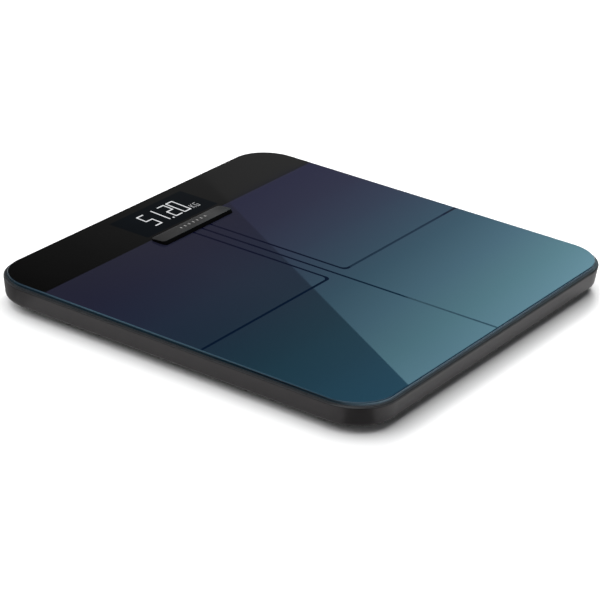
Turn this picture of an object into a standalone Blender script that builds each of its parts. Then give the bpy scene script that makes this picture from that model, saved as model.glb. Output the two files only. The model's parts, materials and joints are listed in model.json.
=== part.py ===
"""Digital bathroom scale: a glass-topped body-composition scale, built as its separate pieces.

Frame: +X is the user's right, +Y points from the user's heels to the display, +Z is up.
The origin is on the floor, under the middle of the outline. Lengths below are in millimetres,
and mesh_object() turns them into metres.
"""

import math

import bmesh
import bpy
from mathutils import Vector

MM = 0.001
GAP = 0.3  # what two pieces that touch keep between their meshes

# ---- driving sizes: the plate and the outline ----
FLAT_WIDTH = 304.6  # the flat face of the glass, inside its arris; outlines below are offsets from it
FLAT_DEPTH = 298.0
FLAT_RADIUS = 28.0
GLASS_THICK = 4.0
GLASS_TOP = 22.0
GLASS_ARRIS = 0.6
HALF_X = FLAT_WIDTH / 2
HALF_Y = FLAT_DEPTH / 2
GLASS_BOTTOM = GLASS_TOP - GLASS_THICK
POCKET = GLASS_ARRIS + 0.5
LIP_OUTER = 2.75
OUTER = 3.2  # how far the casing stands out past the flat face
CORNER_STEPS = 10

# ---- heights of the casing ----
LIP_TOP = GLASS_TOP - 2.0
LIP_BOTTOM = LIP_TOP - 0.8
SHELL_TOP = LIP_BOTTOM - GAP
SHELL_BOTTOM = 5.6
FLOOR_TOP = SHELL_BOTTOM + 1.8
DECK_TOP = GLASS_BOTTOM - 1.3
DECK_BOTTOM = DECK_TOP - 2.0
SHELL_FILLET = 3.0
SHELL_DRAFT = math.tan(math.radians(7.0))

# ---- electrode pattern on the glass ----
LINE_WIDTH = 1.8
LINE_DEPTH = 0.3
LINE_X = 9.6  # outer lines each side of the middle one
LINE_CROSS_Y = -24.0
LINE_BEND = 4.0
BAND_Y = 102.5  # the film ends here and the black band starts

# ---- terminal bar ----
BAR_HALF = 39.2
BAR_X = -1.2
BAR_FRONT = 89.4
BAR_BACK = 102.9
BAR_FRONT_TOP = GLASS_TOP + 2.75
BAR_BACK_TOP = GLASS_TOP + 1.5
BAR_LEAN = 1.6  # how far the front wall leans back over its height
BAR_EDGE = 0.3
BAR_RADIUS = 2.8
CONTACT_XS = (-24.0, -4.8, 4.8, 24.0)
CONTACT_Y = 98.0
CONTACT_HEAD_R = 3.5
CONTACT_PIN_R = 1.5

# ---- display ----
DISPLAY_X = 2.0
DISPLAY_Y = 124.3
DISPLAY_W = 82.0
DISPLAY_H = 33.4
DIGIT_W = 8.4
DIGIT_H = 20.0
DIGIT_PITCH = 10.0
DIGIT_POINT_SPACE = 4.0  # extra room for the decimal point
DIGIT_LEAN = math.tan(math.radians(4.5))
DIGIT_FIRST_X = -24.2  # middle of the leftmost digit
SEGMENT_W = 1.9

# ---- main board ----
BOARD_HALF = 48.0
BOARD_FRONT = 90.0
BOARD_BACK = 142.0
BOARD_BOTTOM = 11.2
BOARD_TOP = 12.6
STAKE_XY = [(x, y) for x in (-45.4, 45.4) for y in (94.0, 138.0)]

# ---- feet and load cells ----
FOOT_X = 113.5
FOOT_Y = 110.0
FOOT_TRAVEL_ROOM = 0.5
CUP_R = 20.5
CUP_FLANGE_R = 23.0
CUP_BOTTOM = 2.9
PAD_R = 19.0
CELL_HALF = 17.0
CELL_BOTTOM = 10.6
CELL_TOP = 12.2
BRACKET_HALF = 19.0
CORNERS = {
    "display_left": (-1, 1),
    "display_right": (1, 1),
    "heel_left": (-1, -1),
    "heel_right": (1, -1),
}

# ---- battery bay ----
BAY_HALF = 26.5
BAY_FRONT = 30.9
BAY_BACK = 76.1
BAY_WALL = 3.0
BAY_ROOF = 16.7
BAY_TOP = 17.6
LEDGE = 5.5
AAA_R = 5.2
AAA_LENGTH = 44.0
AAA_Z = 11.2
AAA_PITCH = 11.0
BAY_BOTTOM = 3.5  # the bay stands proud of the casing's underside
COVER_HALF = 27.6
COVER_FRONT = 29.6
COVER_BACK = 77.8
COVER_TOP = 5.2
COVER_CLEARANCE = 0.4
HINGE_Y = 28.2
HINGE_Z = 4.9
TAB_XS = (-16.0, 16.0)
TAB_HALF = 4.0

# ---- unit button ----
BUTTON_X = 34.0
BUTTON_Y = 98.0
BUTTON_R = 4.5
SWITCH_BOTTOM = 9.4
SWITCH_TOP = BOARD_BOTTOM - GAP

POST_TOP = 10.4  # where the casing's screw posts meet the frame's
HEAD_SEAT = SHELL_BOTTOM + 2.4
CASE_SCREWS = [(-75.0, 135.0), (75.0, 135.0), (-70.0, -135.0), (70.0, -135.0)]

MATERIALS = {
    "glass": ((0.05, 0.13, 0.19), 0.05, 0.6),
    "casing": ((0.035, 0.035, 0.038), 0.42, 0.0),
    "frame": ((0.03, 0.03, 0.033), 0.45, 0.0),
    "bar": ((0.035, 0.034, 0.034), 0.38, 0.2),
    "tape": ((0.02, 0.02, 0.02), 0.8, 0.0),
    "steel": ((0.55, 0.55, 0.56), 0.3, 1.0),
    "silicone": ((0.82, 0.82, 0.8), 0.6, 0.0),
    "white_plastic": ((0.75, 0.75, 0.73), 0.5, 0.0),
    "rubber": ((0.03, 0.03, 0.03), 0.85, 0.0),
    "board": ((0.02, 0.16, 0.07), 0.4, 0.0),
    "chip": ((0.02, 0.02, 0.022), 0.4, 0.0),
    "display_mask": ((0.01, 0.01, 0.012), 0.5, 0.0),
    "diffuser": ((0.85, 0.87, 0.9), 0.4, 0.0),
    "cable": ((0.12, 0.12, 0.12), 0.5, 0.0),
    "battery": ((0.45, 0.42, 0.38), 0.35, 0.6),
}


# ---------------------------------------------------------------- shapes
def rounded(half_x, half_y, radius, steps=CORNER_STEPS, centre=(0.0, 0.0)):
    """Outline of a rounded rectangle, anticlockwise."""
    points = []
    for quarter, (sx, sy) in enumerate(((1, 1), (-1, 1), (-1, -1), (1, -1))):
        for step in range(steps + 1):
            a = math.radians(90 * (quarter + step / steps))
            points.append(
                (
                    centre[0] + sx * (half_x - radius) + radius * math.cos(a),
                    centre[1] + sy * (half_y - radius) + radius * math.sin(a),
                )
            )
    return points


def plate_ring(offset, z):
    """The glass outline grown by offset, at height z."""
    outline = rounded(HALF_X + offset, HALF_Y + offset, FLAT_RADIUS + offset)
    return [(x, y, z) for x, y in outline]


def loft(rings):
    """A solid through rings of equal length, with its first and last ring capped."""
    points = [p for ring in rings for p in ring]
    n = len(rings[0])
    faces = [list(reversed(range(n)))]
    for level in range(len(rings) - 1):
        low, high = level * n, (level + 1) * n
        for i in range(n):
            j = (i + 1) % n
            faces.append([low + i, low + j, high + j, high + i])
    last = (len(rings) - 1) * n
    faces.append([last + i for i in range(n)])
    return points, faces


def hoop(rings):
    """A closed hoop through rings of equal length, whose last ring joins the first."""
    points = [p for ring in rings for p in ring]
    n, levels = len(rings[0]), len(rings)
    faces = []
    for level in range(levels):
        low, high = level * n, ((level + 1) % levels) * n
        for i in range(n):
            j = (i + 1) % n
            faces.append([low + i, low + j, high + j, high + i])
    return points, faces


def prism(outline, z0, z1):
    """An anticlockwise outline raised from z0 to z1."""
    return loft([[(x, y, z0) for x, y in outline], [(x, y, z1) for x, y in outline]])


def box(x0, x1, y0, y1, z0, z1):
    return prism([(x0, y0), (x1, y0), (x1, y1), (x0, y1)], z0, z1)


def turned(profile, centre=(0.0, 0.0), steps=28):
    """A solid of revolution about a vertical axis: profile is (radius, z), bottom to top."""
    rings = []
    for radius, z in profile:
        ring = []
        for step in range(steps):
            a = 2 * math.pi * step / steps
            ring.append((centre[0] + radius * math.cos(a), centre[1] + radius * math.sin(a), z))
        rings.append(ring)
    return loft(rings)


def drum(x, y, radius, z0, z1, steps=16):
    return turned([(radius, z0), (radius, z1)], (x, y), steps)


def along_x(body, y, z):
    """Turns a body made about the vertical axis so that its axis runs along X at (y, z)."""
    points, faces = body
    return [(pz, y + py, z - px) for px, py, pz in points], faces


def mirrored(body):
    """The body reflected in X."""
    points, faces = body
    return [(-x, y, z) for x, y, z in points], [list(reversed(f)) for f in faces]


def ribbon(path, width):
    """Outline of a strip of constant width along a 2-D path."""
    left, right = [], []
    last = len(path) - 1
    for i, point in enumerate(path):
        a, b = path[max(i - 1, 0)], path[min(i + 1, last)]
        run = Vector((b[0] - a[0], b[1] - a[1])).normalized()
        side = Vector((-run.y, run.x)) * width / 2
        left.append((point[0] + side.x, point[1] + side.y))
        right.append((point[0] - side.x, point[1] - side.y))
    return right + list(reversed(left))


def tube(points, radius, sides=8):
    """A closed tube along a list of 3-D points."""
    rings = []
    normal = None
    last = len(points) - 1
    for i, point in enumerate(points):
        run = (Vector(points[min(i + 1, last)]) - Vector(points[max(i - 1, 0)])).normalized()
        if normal is None:
            normal = run.orthogonal().normalized()
        normal = (normal - run * normal.dot(run)).normalized()
        across = run.cross(normal)
        ring = []
        for side in range(sides):
            a = 2 * math.pi * side / sides
            ring.append(tuple(Vector(point) + radius * (normal * math.cos(a) + across * math.sin(a))))
        rings.append(ring)
    return loft(rings)


# ---------------------------------------------------------------- objects
def material(name):
    made = bpy.data.materials.get(name)
    if made is None:
        colour, roughness, metallic = MATERIALS[name]
        made = bpy.data.materials.new(name)
        made.use_nodes = True
        shader = made.node_tree.nodes["Principled BSDF"]
        shader.inputs["Base Color"].default_value = (*colour, 1.0)
        shader.inputs["Roughness"].default_value = roughness
        shader.inputs["Metallic"].default_value = metallic
    return made


def mesh_object(name, bodies, origin=(0.0, 0.0, 0.0)):
    """One object of one or more closed bodies, whose origin is the given point."""
    work = bmesh.new()
    for points, faces in bodies:
        made = [work.verts.new((Vector(p) - Vector(origin)) * MM) for p in points]
        for face in faces:
            work.faces.new([made[i] for i in face])
    bmesh.ops.recalc_face_normals(work, faces=work.faces)
    mesh = bpy.data.meshes.new(name)
    work.to_mesh(mesh)
    work.free()
    obj = bpy.data.objects.new(name, mesh)
    obj.location = Vector(origin) * MM
    bpy.context.scene.collection.objects.link(obj)
    return obj


def node(name, finish, body, origin=(0.0, 0.0, 0.0), smooth=False):
    """A piece of the scale, as one closed body with its material."""
    obj = mesh_object(name, [body], origin)
    obj.data.materials.append(material(finish))
    if smooth:
        obj.data.shade_smooth()
        obj.data.set_sharp_from_angle(angle=math.radians(35))
    return obj


def combine(obj, operation, bodies, within=False):
    """Adds (UNION) or takes away (DIFFERENCE) bodies with a Boolean. within: the bodies meet each other."""
    helper = mesh_object(f"{obj.name}_{operation.lower()}_{len(obj.modifiers)}", bodies)
    helper.hide_render = True
    helper.display_type = "WIRE"
    step = obj.modifiers.new(operation.title(), "BOOLEAN")
    step.operation = operation
    step.object = helper
    step.solver = "EXACT"
    step.use_self = within
    return obj


# ---------------------------------------------------------------- platform
def line_paths():
    """Middle lines of the three gaps that part the electrode film."""
    bend = []
    for step in range(6):
        a = math.radians(180 + 90 * step / 5)
        x, y = LINE_X + LINE_BEND, LINE_CROSS_Y + LINE_BEND
        bend.append((x + LINE_BEND * math.cos(a), y + LINE_BEND * math.sin(a)))
    right = [(LINE_X, BAND_Y), *bend, (HALF_X + 2, LINE_CROSS_Y)]
    middle = [(0.0, BAND_Y), (0.0, -HALF_Y - 2)]
    return right, middle


def build_glass():
    glass = node(
        "glass_platform",
        "glass",
        loft(
            [
                plate_ring(0.1, GLASS_BOTTOM),
                plate_ring(GLASS_ARRIS, GLASS_BOTTOM + 0.5),
                plate_ring(GLASS_ARRIS, GLASS_TOP - GLASS_ARRIS),
                plate_ring(0.0, GLASS_TOP),
            ]
        ),
    )
    right, middle = line_paths()
    low, high = GLASS_TOP - LINE_DEPTH, GLASS_TOP + 1.0
    side_line = prism(ribbon(right, LINE_WIDTH), low, high)
    lines = [side_line, mirrored(side_line), prism(ribbon(middle, LINE_WIDTH), low, high)]
    holes = [drum(x, CONTACT_Y, CONTACT_PIN_R + GAP, GLASS_BOTTOM - 1, GLASS_TOP + 1) for x in CONTACT_XS]
    combine(glass, "DIFFERENCE", lines + holes)


def build_tape():
    low, high = DECK_TOP + GAP, GLASS_BOTTOM - GAP
    inner, outer = -7.0, -1.0
    section = ((inner, low), (outer, low), (outer, high), (inner, high))
    node("glass_bond_tape", "tape", hoop([plate_ring(offset, z) for offset, z in section]))


def build_terminal_bar():
    bottom = GLASS_TOP + GAP

    def top_at(y):
        return BAR_BACK_TOP + (BAR_FRONT_TOP - BAR_BACK_TOP) * (BAR_BACK - y) / (BAR_BACK - BAR_FRONT)

    middle = (BAR_FRONT + BAR_BACK) / 2
    half_y = (BAR_BACK - BAR_FRONT) / 2
    outline = rounded(BAR_HALF, half_y, BAR_RADIUS, 6, (0.0, middle))

    def drawn_in(leaned, end):
        shorter = 1 - leaned * BAR_LEAN / (BAR_BACK - BAR_FRONT)
        return [(x * (1 - end / BAR_HALF), BAR_BACK - end + (y - BAR_BACK) * shorter) for x, y in outline]

    body = loft(
        [
            [(BAR_X + x, y, bottom) for x, y in outline],
            [(BAR_X + x, y, top_at(y) - BAR_EDGE) for x, y in drawn_in(0.8, 0.0)],
            [(BAR_X + x, y, top_at(y)) for x, y in drawn_in(1.0, BAR_EDGE)],
        ]
    )
    bar = node("terminal_bar", "bar", body)
    pockets = [
        drum(x, CONTACT_Y, CONTACT_HEAD_R + GAP, bottom - 1, bottom + 0.9, 20) for x in CONTACT_XS
    ]
    combine(bar, "DIFFERENCE", pockets)
    for number, x in enumerate(CONTACT_XS, start=1):
        head = GLASS_TOP + GAP
        profile = [
            (CONTACT_PIN_R, BOARD_TOP + GAP),
            (CONTACT_PIN_R, head),
            (CONTACT_HEAD_R, head),
            (CONTACT_HEAD_R, head + 0.6),
        ]
        node(f"electrode_contact_{number}", "steel", turned(profile, (x, CONTACT_Y), 16), smooth=True)


# ---------------------------------------------------------------- display
def segment_outlines(x_middle):
    """The seven segments of one digit as leaning hexagons, in the order a b c d e f g."""
    w, h, s = DIGIT_W - SEGMENT_W, DIGIT_H - SEGMENT_W, SEGMENT_W / 2
    ends = {
        "a": ((-w / 2, h / 2), (w / 2, h / 2)),
        "b": ((w / 2, h / 2), (w / 2, 0)),
        "c": ((w / 2, 0), (w / 2, -h / 2)),
        "d": ((-w / 2, -h / 2), (w / 2, -h / 2)),
        "e": ((-w / 2, 0), (-w / 2, -h / 2)),
        "f": ((-w / 2, h / 2), (-w / 2, 0)),
        "g": ((-w / 2, 0), (w / 2, 0)),
    }
    outlines = []
    for start, end in ends.values():
        a, b = Vector(start), Vector(end)
        run = (b - a).normalized()
        side = Vector((-run.y, run.x)) * (s - 0.2)
        shift = run * s
        a, b = a + run * 0.35, b - run * 0.35
        points = [a, a + shift - side, b - shift - side, b, b - shift + side, a + shift + side]
        outlines.append([(x_middle + p.x + p.y * DIGIT_LEAN, DISPLAY_Y + p.y) for p in points])
    return outlines


def digit_middles():
    """X of the five digits: three before the decimal point and two after it."""
    return [DIGIT_FIRST_X + DIGIT_PITCH * n + (DIGIT_POINT_SPACE if n > 2 else 0) for n in range(5)]


def build_display():
    top = GLASS_BOTTOM - GAP
    x0, x1 = DISPLAY_X - DISPLAY_W / 2, DISPLAY_X + DISPLAY_W / 2
    y0, y1 = DISPLAY_Y - DISPLAY_H / 2, DISPLAY_Y + DISPLAY_H / 2
    mask = node("display_mask", "display_mask", box(x0, x1, y0, y1, top - 0.6, top))
    apertures = []
    for x in digit_middles():
        apertures += [prism(outline, top - 2, top + 1) for outline in segment_outlines(x)]
    point_x = DIGIT_FIRST_X + DIGIT_PITCH * 2 + DIGIT_W / 2 + DIGIT_POINT_SPACE / 2 - 0.1
    point_y = DISPLAY_Y - DIGIT_H / 2 + 0.9
    apertures.append(box(point_x - 0.8, point_x + 0.8, point_y - 0.8, point_y + 0.8, top - 2, top + 1))
    combine(mask, "DIFFERENCE", apertures)
    top -= 0.6 + GAP
    node("display_diffuser", "diffuser", box(x0 + 0.6, x1 - 0.6, y0 + 0.6, y1 - 0.6, top - 0.6, top))
    top -= 0.6 + GAP
    reflector = node("display_reflector", "white_plastic", box(x0, x1, y0, y1, BOARD_TOP + GAP, top))
    wells = []
    for x in digit_middles():
        wells.append(box(x - 4.6, x + 4.6, DISPLAY_Y - 11, DISPLAY_Y + 11, BOARD_TOP - 1, top + 1))
    combine(reflector, "DIFFERENCE", wells)


# ---------------------------------------------------------------- casing
def build_upper_frame():
    frame = node(
        "upper_frame",
        "frame",
        loft(
            [
                plate_ring(-4.6, DECK_BOTTOM),
                plate_ring(-4.6, 10.8),
                plate_ring(-2.6, 10.8),
                plate_ring(-2.6, DECK_BOTTOM),
                plate_ring(0.7, DECK_BOTTOM + 0.5),
                plate_ring(POCKET + 0.7, DECK_TOP + 0.2),
                plate_ring(POCKET + 0.7, LIP_BOTTOM),
                plate_ring(LIP_OUTER, LIP_BOTTOM),
                plate_ring(LIP_OUTER, LIP_TOP - 0.25),
                plate_ring(LIP_OUTER - 0.25, LIP_TOP),
                plate_ring(POCKET, LIP_TOP),
                plate_ring(POCKET, DECK_TOP),
            ]
        ),
    )
    ribs = []
    for y in (-75.0, -35.0, 5.0):
        ribs.append(box(-90.0, 90.0, y - 0.8, y + 0.8, 11.0, DECK_BOTTOM + 0.5))
    posts = [drum(x, y, 4.0, POST_TOP + GAP, DECK_BOTTOM + 0.5, 20) for x, y in CASE_SCREWS]
    combine(frame, "UNION", ribs + posts)
    pilots = [drum(x, y, 1.8, 7.0, DECK_TOP - 1.0, 12) for x, y in CASE_SCREWS]
    margin = 0.8
    windows = [
        box(
            DISPLAY_X - DISPLAY_W / 2 - margin,
            DISPLAY_X + DISPLAY_W / 2 + margin,
            DISPLAY_Y - DISPLAY_H / 2 - margin,
            DISPLAY_Y + DISPLAY_H / 2 + margin,
            DECK_BOTTOM - 1,
            DECK_TOP + 1,
        ),
        box(-30.0, 30.0, CONTACT_Y - 3, CONTACT_Y + 3, DECK_BOTTOM - 1, DECK_TOP + 1),
        box(-31.0, 31.0, BAY_FRONT - 4.5, BAY_BACK + 4.5, DECK_BOTTOM - 1, DECK_TOP + 1),
    ]
    combine(frame, "DIFFERENCE", pilots + windows)


def shell_rings():
    """The casing's pan, from the middle of its underside round the wall to the floor inside."""
    rings = []
    foot = OUTER - SHELL_DRAFT * (SHELL_TOP - 0.3 - SHELL_BOTTOM - SHELL_FILLET)
    for step in range(6):
        a = math.radians(90 * step / 5)
        inset = SHELL_FILLET * (1 - math.sin(a))
        rings.append(plate_ring(foot - inset, SHELL_BOTTOM + SHELL_FILLET * (1 - math.cos(a))))
    rings += [
        plate_ring(OUTER, SHELL_TOP - 0.3),
        plate_ring(OUTER - 0.3, SHELL_TOP),
        plate_ring(POCKET + 1.0, SHELL_TOP),
        plate_ring(POCKET + 1.0, DECK_TOP),
        plate_ring(1.0, DECK_BOTTOM),
        plate_ring(0.0, 9.6),
        plate_ring(-1.2, 8.0),
        plate_ring(-2.4, FLOOR_TOP),
    ]
    return rings


def build_base_shell():
    shell = node("base_shell", "casing", loft(shell_rings()))
    under = BAY_BOTTOM - 1
    wide = BAY_HALF + BAY_WALL
    bay = box(-wide, wide, BAY_FRONT - BAY_WALL, BAY_BACK + BAY_WALL, SHELL_BOTTOM + 0.6, BAY_TOP)
    plinth = loft(
        [
            [(x, y, BAY_BOTTOM) for x, y in rounded(32.0, 29.6, 3.0, 4, (0.0, 53.4))],
            [(x, y, FLOOR_TOP - 0.5) for x, y in rounded(34.0, 31.6, 5.0, 4, (0.0, 53.4))],
        ]
    )
    posts = [drum(x, y, 5.0, FLOOR_TOP - 1, POST_TOP, 20) for x, y in CASE_SCREWS]
    shoulder = BOARD_BOTTOM - GAP
    stakes = [
        turned([(3.0, FLOOR_TOP - 1), (3.0, shoulder), (1.4, shoulder), (1.4, BOARD_TOP + 0.9)], xy, 12)
        for xy in STAKE_XY
    ]
    collars = []
    for sx, sy in CORNERS.values():
        collars.append(drum(sx * FOOT_X, sy * FOOT_Y, CUP_FLANGE_R + 2.4, FLOOR_TOP - 1, 9.8, 36))
    combine(shell, "UNION", [bay, plinth] + posts + stakes + collars, within=True)

    opening = COVER_CLEARANCE
    mouth = COVER_HALF + opening
    cuts = [
        box(-BAY_HALF, BAY_HALF, BAY_FRONT, BAY_BACK, LEDGE - 0.5, BAY_ROOF),
        box(-mouth, mouth, COVER_FRONT - opening, COVER_BACK + opening, under, LEDGE),
        box(-9.0, 9.0, COVER_BACK + opening - 0.2, COVER_BACK + 4.0, under, BAY_BOTTOM + 1.2),
        box(-mouth, mouth, HINGE_Y - 0.1, COVER_FRONT, under, BAY_BOTTOM + 0.7),
    ]
    for x in TAB_XS:
        wide = TAB_HALF + 0.4
        cuts.append(box(x - wide, x + wide, HINGE_Y - 2.0, COVER_FRONT - 0.3, BAY_BOTTOM + 0.6, 6.4))
        cuts.append(box(x - wide, x + wide, HINGE_Y - 0.7, COVER_FRONT - 0.3, under, LEDGE))
    combine(shell, "DIFFERENCE", cuts, within=True)

    bores = []
    for sx, sy in CORNERS.values():
        wide = CUP_FLANGE_R + 0.6
        profile = [(CUP_R + 1.0, under), (CUP_R + 1.0, FLOOR_TOP), (wide, FLOOR_TOP), (wide, 10.8)]
        bores.append(turned(profile, (sx * FOOT_X, sy * FOOT_Y), 36))
    for x, y in CASE_SCREWS:
        bores.append(turned([(3.6, under), (3.6, HEAD_SEAT), (1.8, HEAD_SEAT), (1.8, 12.0)], (x, y), 16))
    bores.append(drum(BUTTON_X, BUTTON_Y, BUTTON_R + 0.3, under, FLOOR_TOP + 1, 20))
    combine(shell, "DIFFERENCE", bores)


def build_case_screws():
    head = HEAD_SEAT - GAP
    profile = [(2.4, head - 1.8), (3.0, head - 1.3), (3.0, head), (1.5, head), (1.5, DECK_TOP - 1.4)]
    for number, (x, y) in enumerate(CASE_SCREWS, start=1):
        screw = node(
            f"case_screw_{number}",
            "steel",
            turned(profile, (x, y), 16),
        )
        arm, half = 1.7, 0.4
        slots = [
            box(x - arm, x + arm, y - half, y + half, head - 3, head - 0.9),
            box(x - half, x + half, y - arm, y + arm, head - 3, head - 0.9),
        ]
        combine(screw, "DIFFERENCE", slots, within=True)


# ---------------------------------------------------------------- feet and load cells
def build_corner(name, sx, sy):
    cx, cy = sx * FOOT_X, sy * FOOT_Y
    on_axis = (cx, cy, 0.0)
    pad = [(PAD_R - 1.6, 0.0), (PAD_R - 0.5, 0.5), (PAD_R, 1.3), (PAD_R, CUP_BOTTOM - GAP)]
    node(f"foot_pad_{name}", "rubber", turned(pad, (cx, cy), 32), on_axis, smooth=True)
    boss_top = CELL_BOTTOM - FOOT_TRAVEL_ROOM
    cup = [
        (CUP_R - 0.6, CUP_BOTTOM),
        (CUP_R, CUP_BOTTOM + 0.6),
        (CUP_R, FLOOR_TOP + 0.4),
        (CUP_FLANGE_R, FLOOR_TOP + 0.4),
        (CUP_FLANGE_R, 8.8),
        (5.4, 8.8),
        (4.8, boss_top),
    ]
    node(f"foot_cup_{name}", "casing", turned(cup, (cx, cy), 32), on_axis, smooth=True)

    plate = prism(rounded(CELL_HALF, CELL_HALF, 3.0, 4, (cx, cy)), CELL_BOTTOM, CELL_TOP)
    cell = node(f"load_cell_{name}", "steel", plate)
    slot_in, slot_out, slot_top, slot_end = 6.0, 8.4, 8.0, 11.0
    u_slot = [
        (cx - slot_out, cy - slot_end - 2.4),
        (cx + slot_out, cy - slot_end - 2.4),
        (cx + slot_out, cy + slot_top),
        (cx + slot_in, cy + slot_top),
        (cx + slot_in, cy - slot_end),
        (cx - slot_in, cy - slot_end),
        (cx - slot_in, cy + slot_top),
        (cx - slot_out, cy + slot_top),
    ]
    combine(cell, "DIFFERENCE", [prism(u_slot, CELL_BOTTOM - 1, CELL_TOP + 1)])
    gauge = prism(rounded(4.6, 2.4, 1.2, 3, (cx, cy + 8.2)), CELL_TOP + GAP, CELL_TOP + 1.1)
    node(f"strain_gauge_{name}", "silicone", gauge)

    top = DECK_BOTTOM - GAP
    outer = prism(rounded(BRACKET_HALF, BRACKET_HALF, 3.0, 3, (cx, cy)), CELL_BOTTOM + 0.3, top)
    bracket = node(f"load_cell_bracket_{name}", "white_plastic", outer)
    seat = CELL_HALF + 0.5
    rebate = box(cx - seat, cx + seat, cy - seat, cy + seat, CELL_BOTTOM - 1, CELL_TOP + GAP)
    window = box(cx - 13.5, cx + 13.5, cy - 13.5, cy + 13.5, CELL_BOTTOM, top + 1)
    combine(bracket, "DIFFERENCE", [rebate, window], within=True)


def smooth_route(points, spacing):
    """Points along a Catmull-Rom curve through the route's own points."""
    pts = [Vector(p) for p in points]
    pts = [2 * pts[0] - pts[1], *pts, 2 * pts[-1] - pts[-2]]
    route = []
    for i in range(1, len(pts) - 2):
        p0, p1, p2, p3 = pts[i - 1 : i + 3]
        steps = max(1, round((p2 - p1).length / spacing))
        for step in range(steps):
            t = step / steps
            square = (2 * p0 - 5 * p1 + 4 * p2 - p3) * t**2
            cube = (3 * p1 - p0 - 3 * p2 + p3) * t**3
            route.append(0.5 * (2 * p1 + (p2 - p0) * t + square + cube))
    route.append(pts[-2])
    return [tuple(p) for p in route]


LEAD_R = 1.1
BATTERY_LEAD_R = 0.7
BATTERY_LEAD = [
    (-30, 58, 12.6),
    (-33, 58.5, 12.4),
    (-36, 63, 11),
    (-37, 72, 10.4),
    (-36, 83, 10.8),
    (-36, 89.6, 11.6),
]
DISPLAY_END_LEAD = [
    (94.1, 110, 11.4),
    (89, 110.4, 11.2),
    (82, 112.5, 9.9),
    (72, 117, 8.9),
    (60, 121.6, 8.9),
    (52, 122.5, 9.4),
    (47.4, 122.5, 9.5),
]
HEEL_END_LEAD = [
    (94.1, -110, 11.4),
    (88.5, -109, 11.2),
    (81, -102, 9.7),
    (75, -88, 8.9),
    (71, -60, 8.9),
    (69, 0, 8.9),
    (69, 60, 8.9),
    (66, 96, 8.9),
    (59, 111, 9.0),
    (52, 115.5, 9.4),
    (47.4, 115.5, 9.5),
]


def build_leads():
    for side, word in ((-1, "left"), (1, "right")):
        for end, route, spacing in (("display", DISPLAY_END_LEAD, 6.0), ("heel", HEEL_END_LEAD, 9.0)):
            points = smooth_route([(side * x, y, z) for x, y, z in route], spacing)
            node(f"load_cell_lead_{end}_{word}", "cable", tube(points, LEAD_R), smooth=True)
    node("battery_lead", "cable", tube(smooth_route(BATTERY_LEAD, 4.0), BATTERY_LEAD_R), smooth=True)


# ---------------------------------------------------------------- electronics
def build_board():
    sheet = box(-BOARD_HALF, BOARD_HALF, BOARD_FRONT, BOARD_BACK, BOARD_BOTTOM, BOARD_TOP)
    board = node("main_board", "board", sheet)
    holes = [drum(x, y, 1.8, BOARD_BOTTOM - 1, BOARD_TOP + 1, 12) for x, y in STAKE_XY]
    combine(board, "DIFFERENCE", holes)
    under = BOARD_BOTTOM - GAP
    node("controller_chip", "chip", box(3.0, 13.0, 99.0, 109.0, under - 1.0, under))
    shield = loft(
        [
            [(x, y, under - 2.2) for x, y in rounded(8.6, 6.1, 1.0, 3, (-20.0, 104.0))],
            [(x, y, under - 1.9) for x, y in rounded(9.0, 6.5, 1.0, 3, (-20.0, 104.0))],
            [(x, y, under) for x, y in rounded(9.0, 6.5, 1.0, 3, (-20.0, 104.0))],
        ]
    )
    node("radio_module", "steel", shield)
    for side, word in ((-1, "left"), (1, "right")):
        block = box(39.0, 47.0, 111.5, 126.5, under - 2.9, under)
        node(f"sensor_connector_{word}", "white_plastic", block if side > 0 else mirrored(block))


def build_unit_button():
    on_axis = (BUTTON_X, BUTTON_Y, 0.0)
    centre = (BUTTON_X, BUTTON_Y)
    x0, x1, y0, y1 = BUTTON_X - 3, BUTTON_X + 3, BUTTON_Y - 3, BUTTON_Y + 3
    block = box(x0, x1, y0, y1, SWITCH_BOTTOM, SWITCH_TOP)
    switch = node("unit_switch", "chip", block)
    combine(switch, "DIFFERENCE", [drum(*centre, 1.9, SWITCH_BOTTOM - 1, SWITCH_TOP + 1, 16)])
    low = SWITCH_BOTTOM - 0.6
    plunger = [(1.3, low), (1.6, low + 0.2), (1.6, low + 1.6)]
    node("unit_switch_plunger", "white_plastic", turned(plunger, centre, 16), on_axis, smooth=True)
    top = low - GAP
    flange, wide = FLOOR_TOP + GAP, 5.8
    button = [(BUTTON_R - 0.5, 6.0), (BUTTON_R, 6.4), (BUTTON_R, flange), (wide, flange), (wide, top)]
    node("unit_button", "casing", turned(button, centre, 24), on_axis, smooth=True)


# ---------------------------------------------------------------- batteries
def cell_y(number):
    return (BAY_FRONT + BAY_BACK) / 2 + (number - 1.5) * AAA_PITCH


def build_cells():
    """Four AAA cells, each with its button end against a flat contact and its base on a spring."""
    button_end = 24.6
    for number in range(4):
        steps = 24
        profile = [
            (AAA_R - 0.4, button_end - AAA_LENGTH),
            (AAA_R, button_end - AAA_LENGTH + 0.4),
            (AAA_R, button_end - 1.4),
            (AAA_R - 0.4, button_end - 1.0),
            (1.9, button_end - 1.0),
            (1.9, button_end),
        ]
        body = along_x(turned(profile, steps=steps), cell_y(number), AAA_Z)
        if number % 2:
            body = mirrored(body)
        node(f"battery_cell_{number + 1}", "battery", body, smooth=True)


def spring_points(side, y):
    """A conical coil from the contact plate to the base of a cell."""
    start, end, turns = 25.6, 19.7, 3
    steps = 12
    points = []
    for step in range(turns * steps + 1):
        share = step / (turns * steps)
        a = 2 * math.pi * share * turns
        radius = 3.9 - 1.6 * share
        x = start + (end - start) * share
        points.append((side * x, y + radius * math.cos(a), AAA_Z + radius * math.sin(a)))
    return points


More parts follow.
